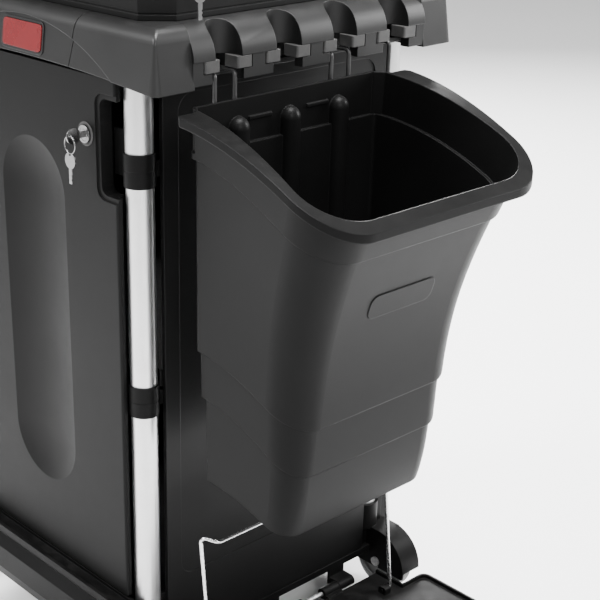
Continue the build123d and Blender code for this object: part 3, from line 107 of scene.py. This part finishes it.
# %% Sums on sockets
class Wire:
    """A node's output, which can be used in sums."""

    def __init__(self, finish, socket):
        self.finish, self.socket = finish, socket

    def sum(self, kind, first, second=0.0, third=0.0):
        return self.finish.node("ShaderNodeMath", {"operation": kind}, {0: first, 1: second, 2: third})

    def __add__(self, other):
        return self.sum("ADD", self, other)

    def __sub__(self, other):
        return self.sum("SUBTRACT", self, other)

    def __rsub__(self, other):
        return self.sum("SUBTRACT", other, self)

    def __mul__(self, other):
        return self.sum("MULTIPLY", self, other)

    __radd__ = __add__
    __rmul__ = __mul__

    def clamp(self):
        return self.finish.node("ShaderNodeClamp", {}, {"Value": self, "Min": 0.0, "Max": 1.0})

    def ramp(self, low, high):
        """0 below low, 1 above high and smooth between."""
        ranges = {"From Min": low, "From Max": high, "To Min": 0.0, "To Max": 1.0}
        settings = {"interpolation_type": "SMOOTHSTEP"}
        return self.finish.node("ShaderNodeMapRange", settings, {"Value": self, **ranges})


class Finish:
    """A material, and the one way that this lesson adds nodes to it."""

    def __init__(self, name):
        self.material = bpy.data.materials.new(name)
        self.material.use_nodes = True
        self.tree = self.material.node_tree
        self.shader = self.tree.nodes["Principled BSDF"]

    def node(self, kind, settings=None, inputs=None, out=0):
        made = self.tree.nodes.new(kind)
        for key, value in (settings or {}).items():
            setattr(made, key, value)
        for key, value in (inputs or {}).items():
            self.feed(made.inputs[key], value)
        return Wire(self, made.outputs[out])

    def feed(self, socket, value):
        if isinstance(value, Wire):
            self.tree.links.new(value.socket, socket)
        else:
            socket.default_value = value

    def set(self, **values):
        for key, value in values.items():
            self.feed(self.shader.inputs[key.replace("_", " ")], value)

    def place(self, scale=(1.0, 1.0, 1.0), turn=(0.0, 0.0, 0.0)):
        """Object coordinates, stretched and turned."""
        point = self.node("ShaderNodeTexCoord", out=3)
        return self.node("ShaderNodeMapping", {}, {"Vector": point, "Scale": scale, "Rotation": turn})

    def noise(self, scale, detail=2.0, rough=0.5, place=None):
        inputs = {"Vector": place or self.place(), "Scale": scale, "Detail": detail, "Roughness": rough}
        return self.node("ShaderNodeTexNoise", {}, inputs)

    def blend(self, factor, first, second):
        return self.node("ShaderNodeMix", {"data_type": "RGBA"}, {0: factor, 6: first, 7: second}, out=2)

    def soft_edge(self, radius):
        return self.node("ShaderNodeBevel", {"samples": 6}, {"Radius": radius})

    def wear(self, rounded, low, high):
        """1 where the rounded normal leaves the true one, which is along sharp edges."""
        true = self.node("ShaderNodeNewGeometry", out=3)
        same = self.node("ShaderNodeVectorMath", {"operation": "DOT_PRODUCT"}, {0: rounded, 1: true}, out=1)
        return (1.0 - same).ramp(low, high)

    def bump(self, height, strength, depth, below=None):
        inputs = {"Height": height, "Strength": strength, "Distance": depth}
        if below is not None:
            inputs["Normal"] = below
        return self.node("ShaderNodeBump", {}, inputs)


print("shader sums are ready")

# %% [markdown]
# Nearly all of the cart is moulded in black plastic. The mould is etched, so the skin has a fine
# stipple that spreads highlights. It flows into the mould unevenly, which shows as slow changes
# of gloss, and hands and linen polish its corners to a lighter grey. One recipe covers the deck,
# the doors, the bin and the base; a low shine keeps the black deep under wide lamps.

# %% Moulded plastic
def rgba(value, warmth=0.0):
    return (value + warmth, value, value - warmth, 1.0)


def moulded(name, shade, gloss, stipple, edge=0.0012, dust=0.25, shine=0.09):
    """Stipple is the etched grain's size and edge the corner radius, in metres; gloss is the mean roughness."""
    finish = Finish(name)
    rounded = finish.soft_edge(edge)
    slow = finish.noise(9.0, 3.0)
    cloud = finish.noise(46.0, 4.0, 0.6)
    grain = finish.noise(1.0 / stipple, 2.0)
    pits = finish.noise(2.4 / stipple, 1.0)
    worn = finish.wear(rounded, 0.02, 0.2)
    scuffs = finish.noise(70.0, 5.0, 0.7, finish.place((1.0, 1.0, 0.12), (0.3, 0.2, 0.5))).ramp(0.62, 0.78)
    lying = finish.node("ShaderNodeSeparateXYZ", {}, {0: finish.node("ShaderNodeNewGeometry", out=1)}, out=2)
    settled = lying.ramp(0.6, 1.0) * cloud.ramp(0.35, 0.75) * dust
    body = finish.blend(slow.ramp(0.3, 0.7), rgba(shade * 0.9), rgba(shade * 1.1))
    marked = finish.blend(scuffs * 0.12 + worn * 0.35, body, rgba(shade * 3.0 + 0.008))
    dusted = finish.blend(settled * 0.2, marked, rgba(0.1, 0.003))
    roughness = slow * 0.10 + cloud * 0.08 + settled * 0.3 + scuffs * 0.06 + (gloss - 0.09)
    skin = finish.bump(grain + pits * 0.5, 0.35, stipple * 0.16, rounded)
    finish.set(Base_Color=dusted, Roughness=(roughness - worn * 0.08).clamp(), Normal=skin)
    finish.shader.inputs["Specular IOR Level"].default_value = shine
    return finish


deck_plastic = moulded("deck_plastic", 0.007, 0.40, 0.0009, shine=0.30)
door_plastic = moulded("door_plastic", 0.005, 0.46, 0.0012, shine=0.07)
# The end panel and the shelf are the same black plastic painted darker: their low shade is painted shade,
# standing in for the shadow on the recessed end panel and inside the cart.
shade_painted_panel_plastic = moulded("shade_painted_panel_plastic", 0.002, 0.50, 0.0012, shine=0.16)
bin_plastic = moulded("bin_plastic", 0.004, 0.38, 0.0007, 0.0022, 0.1, 0.06)
base_plastic = moulded("base_plastic", 0.004, 0.44, 0.0012, 0.0016, 0.3, 0.06)
hood_plastic = moulded("hood_plastic", 0.006, 0.44, 0.0012, 0.0016)
print("moulded finishes:", [m.name for m in bpy.data.materials if m.name.endswith("plastic")])

# %% [markdown]
# Metal takes its look from how it was worked. The posts are drawn tube, anodised: very fine lines
# along the tube under a soft sheen. Wire and brackets are zinc plated, which leaves a faint
# mottled spangle. Locks and keys are chromed and pick up hairline scratches.

# %% Metals
def metal(name, shade, gloss, grain_scale, mottle, depth, edge=0.0006):
    finish = Finish(name)
    rounded = finish.soft_edge(edge)
    lines = finish.noise(420.0, 3.0, 0.6, finish.place(grain_scale))
    clouds = finish.noise(38.0, 3.0)
    cells = {"Vector": finish.place(), "Scale": 210.0, "Randomness": 1.0}
    spangle = finish.node("ShaderNodeTexVoronoi", {}, cells)
    patch = finish.blend(spangle.ramp(0.1, 0.7) * mottle, rgba(shade), rgba(shade * 0.72, -0.004))
    tarnish = finish.blend(clouds.ramp(0.45, 0.8) * 0.25, patch, rgba(shade * 0.78, 0.006))
    roughness = lines * 0.12 + clouds * 0.1 + spangle * (mottle * 0.12) + (gloss - 0.11)
    finish.set(Base_Color=tarnish, Roughness=roughness.clamp(), Metallic=1.0)
    finish.set(Normal=finish.bump(lines, 0.3, depth, rounded))
    return finish


anodised = metal("anodised_aluminium", 0.66, 0.36, (1.0, 1.0, 0.02), 0.0, 0.00004)
chrome = metal("chrome", 0.22, 0.22, (1.0, 0.1, 1.0), 0.0, 0.00003)
zinc_wire = metal("zinc_wire", 0.70, 0.24, (1.0, 1.0, 0.2), 0.35, 0.00003)
zinc_steel = metal("zinc_steel", 0.58, 0.38, (1.0, 1.0, 1.0), 0.8, 0.00005)
print("metals ready")

# %% [markdown]
# Rubber is matt, and its tread is polished and greyed by the floor. Powder coat on the bin's
# hanger has the dimples of an orange's skin. The badge is a plain plate of clear-coated red:
# its colour sits under the gloss.

# %% Rubber, powder coat and the badge
def rubber(name, shade, gloss):
    finish = Finish(name)
    rounded = finish.soft_edge(0.001)
    smear = finish.noise(60.0, 5.0, 0.65)
    fine = finish.noise(1500.0, 2.0)
    colour = finish.blend(smear.ramp(0.35, 0.75) * 0.6, rgba(shade), rgba(shade * 1.7 + 0.01, 0.002))
    finish.set(Base_Color=colour, Roughness=(smear * 0.14 + (gloss - 0.07)).clamp())
    finish.set(Normal=finish.bump(fine + smear, 0.4, 0.00012, rounded))
    return finish


tyre_rubber = rubber("tyre_rubber", 0.16, 0.72)
jaw_rubber = rubber("jaw_rubber", 0.022, 0.62)
hub_plastic = moulded("hub_plastic", 0.16, 0.45, 0.0008)

powder = Finish("powder_coat")
dimples = powder.noise(800.0, 2.0)
powder_shade = powder.blend(powder.noise(40.0, 4.0).ramp(0.4, 0.7), rgba(0.014), rgba(0.028))
powder.set(Base_Color=powder_shade, Roughness=dimples * 0.1 + 0.34)
powder.set(Normal=powder.bump(dimples, 0.5, 0.0001, powder.soft_edge(0.0006)))

badge_red = Finish("badge_red")
haze = badge_red.noise(30.0, 4.0)
badge_red.set(Base_Color=badge_red.blend(haze, (0.10, 0.001, 0.002, 1.0), (0.14, 0.001, 0.003, 1.0)))
badge_red.set(Roughness=haze * 0.12 + 0.22, Coat_Weight=haze * 0.2 + 0.2)
badge_red.set(Normal=badge_red.bump(haze, 0.1, 0.0001, badge_red.soft_edge(0.0008)))

floor_paint = Finish("studio_floor")
paint_cloud = floor_paint.noise(1.6, 3.0)
floor_paint.set(Base_Color=floor_paint.blend(paint_cloud, rgba(0.92), rgba(0.95)))
floor_paint.set(Roughness=paint_cloud * 0.1 + 0.55)
floor.data.materials.append(floor_paint.material)

# %% [markdown]
# Each part now gets its finish. A dictionary from a finish to the beginnings of the part names
# keeps this in one place, and the check below it proves that no part is left bare.

# %% Dress the parts
finishes = (
    (deck_plastic, ("deck", "tool_rail")),
    (door_plastic, ("door_left", "door_right")),
    (shade_painted_panel_plastic, ("end_panel", "shelf")),
    (bin_plastic, ("waste_bin",)),
    (base_plastic, ("base_tray", "platform_b", "post_collars")),
    (hood_plastic, ("hood_base", "hood_lid")),
    (anodised, ("post_bin", "post_bag")),
    (chrome, ("lock", "key")),
    (zinc_wire, ("bail",)),
    (zinc_steel, ("door_pins", "hood_pins", "platform_pins", "collar_screws", "fixed_axles", "caster")),
    (tyre_rubber, ("tyre",)),
    (hub_plastic, ("hub",)),
    (jaw_rubber, ("rail_jaws",)),
    (powder, ("bin_hanger",)),
    (badge_red, ("badges",)),
)
bare = set(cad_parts)
for finish, beginnings in finishes:
    for name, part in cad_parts.items():
        if name.startswith(beginnings):
            part.data.materials.clear()
            part.data.materials.append(finish.material)
            bare.discard(name)
assert not bare, f"parts without a finish: {sorted(bare)}"
print(len(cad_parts), "parts dressed")

# %% [markdown]
# Small fittings complete the cart. Each starts as a plain block, sheet or turned profile and gets
# its edges rounded before it is put in place. Every fitting rides on the body that it is fixed
# to, so that it moves with the door, platform or hood.

# %% Make a fitting
def fitting(name, bm, finish, body):
    bmesh.ops.recalc_face_normals(bm, faces=bm.faces)
    mesh = bpy.data.meshes.new(name)
    bm.to_mesh(mesh)
    bm.free()
    mesh.materials.append(finish.material)
    mesh.shade_smooth()
    mesh.set_sharp_from_angle(angle=0.7)
    made = bpy.data.objects.new(name, mesh)
    bpy.context.scene.collection.objects.link(made)
    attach(made, body)
    print(name, len(mesh.polygons), "faces, rides on", body)


def add_block(bm, size, centre, radius):
    """A block with rounded edges."""
    matrix = Matrix.Translation(centre) @ Matrix.Diagonal((*size, 1.0))
    corners = bmesh.ops.create_cube(bm, size=1.0, matrix=matrix)["verts"]
    edges = list({edge for corner in corners for edge in corner.link_edges})
    bmesh.ops.bevel(bm, geom=edges, offset=radius, segments=3, profile=0.5, affect="EDGES", material=-1)


def turned(profile, steps, place):
    """A closed profile of (radius, height) pairs, turned once about its own Z axis."""
    bm = bmesh.new()
    ring = [bm.verts.new((radius, 0.0, height)) for radius, height in profile]
    lines = [bm.edges.new(pair) for pair in zip(ring, ring[1:] + ring[:1])]
    turn = {"cent": (0, 0, 0), "axis": (0, 0, 1), "angle": math.tau, "steps": steps}
    bmesh.ops.spin(bm, geom=ring + lines, use_merge=True, **turn)
    bmesh.ops.transform(bm, matrix=place, verts=bm.verts)
    return bm


# %% [markdown]
# The flat fields of both platforms carry ribbed rubber, so that a sack or a vacuum cleaner does
# not slide off when the cart crosses a door sill. It is extruded in long strips and glued down.

# %% Ribbed pads on the platforms
FIELD_STARTS = (0.381, 0.461)   # inner edges of the two raised fields
RIBS = 7
RIB_PITCH = 0.008
RIB_MIDDLE = 0.0447             # a little above the field's top
RIB_SIZE = (0.0045, 0.396, 0.0012)
RIB_EDGE = 0.0004

for end, body in ((1, "bin_end_platform"), (-1, "bag_end_platform")):
    bm = bmesh.new()
    for start in FIELD_STARTS:
        for rib in range(RIBS):
            centre = (end * (start + 0.006 + rib * RIB_PITCH), 0.0, RIB_MIDDLE)
            add_block(bm, RIB_SIZE, centre, RIB_EDGE)
    fitting(body + "_pads", bm, jaw_rubber, body)

# %% [markdown]
# A cam lock sits in a round hole, and a thin ring under its face hides the raw edge of the hole.

# %% Rings under the locks
ring_profile = (
    (0.0122, 0.0),
    (0.0162, 0.0),
    (0.0162, 0.0007),
    (0.0155, 0.0013),
    (0.0127, 0.0013),
    (0.0122, 0.0009),
)
RING_STEPS = 48
rings = (
    ("left_lock_ring", (0.130, -0.2651, 0.857), (math.pi / 2, 0.0, 0.0), "left_door"),
    ("right_lock_ring", (-0.130, 0.2651, 0.857), (-math.pi / 2, 0.0, 0.0), "right_door"),
    ("hood_lock_ring", (0.2461, -0.190, 1.076), (0.0, math.pi / 2, 0.0), "cart"),
)
for name, centre, turn, body in rings:
    place = Matrix.Translation(centre)
    for angle, axis in zip(turn, "XYZ"):
        place = place @ Matrix.Rotation(angle, 4, axis)
    fitting(name, turned(ring_profile, RING_STEPS, place), jaw_rubber, body)

# %% [markdown]
# Each badge lies in a low moulded frame that protects its edge when the cart brushes a wall.

# %% Frames round the badges
def frame_ring(place, length, height, corner, width, thickness):
    bm = bmesh.new()
    stretch = Matrix.Diagonal((length, height, 1, 1))
    bmesh.ops.create_grid(bm, x_segments=1, y_segments=1, size=0.5, matrix=stretch)
    rounding = {"offset": corner, "segments": 6, "profile": 0.5, "affect": "VERTICES", "material": -1}
    bmesh.ops.bevel(bm, geom=bm.verts[:], **rounding)
    inset = {"thickness": width, "use_boundary": True, "use_even_offset": True}
    ring = bmesh.ops.inset_region(bm, faces=bm.faces[:], **inset)["faces"]
    middle = [face for face in bm.faces if face not in ring]
    bmesh.ops.delete(bm, geom=middle, context="FACES")
    bmesh.ops.solidify(bm, geom=bm.faces[:], thickness=thickness)
    bmesh.ops.transform(bm, matrix=place, verts=bm.verts)
    return bm


SKIRT_LEAN = 82                 # degrees between the skirt and the floor
for side, name in ((-1, "badge_frame_left"), (1, "badge_frame_right")):
    turn = Matrix.Rotation(math.radians(-SKIRT_LEAN * side), 4, "X")
    place = Matrix.Translation((0.0, side * 0.2699, 0.968)) @ turn
    ring = frame_ring(place, 0.0976, 0.0436, 0.008, 0.0034, 0.0016)
    fitting(name, ring, deck_plastic, "cart")

# %% [markdown]
# The hood is lifted by a narrow grip low on its long side. Two short feet hold the bar off the
# lid, and its rounded edges give the fingers a hold.

# %% Grip on the hood
bm = bmesh.new()
add_block(bm, (0.130, 0.010, 0.012), (0.0, -0.2452, 1.150), 0.0035)
for x in (-0.050, 0.050):
    add_block(bm, (0.014, 0.006, 0.022), (x, -0.2431, 1.150), 0.0018)
fitting("hood_grip", bm, hood_plastic, "hood")
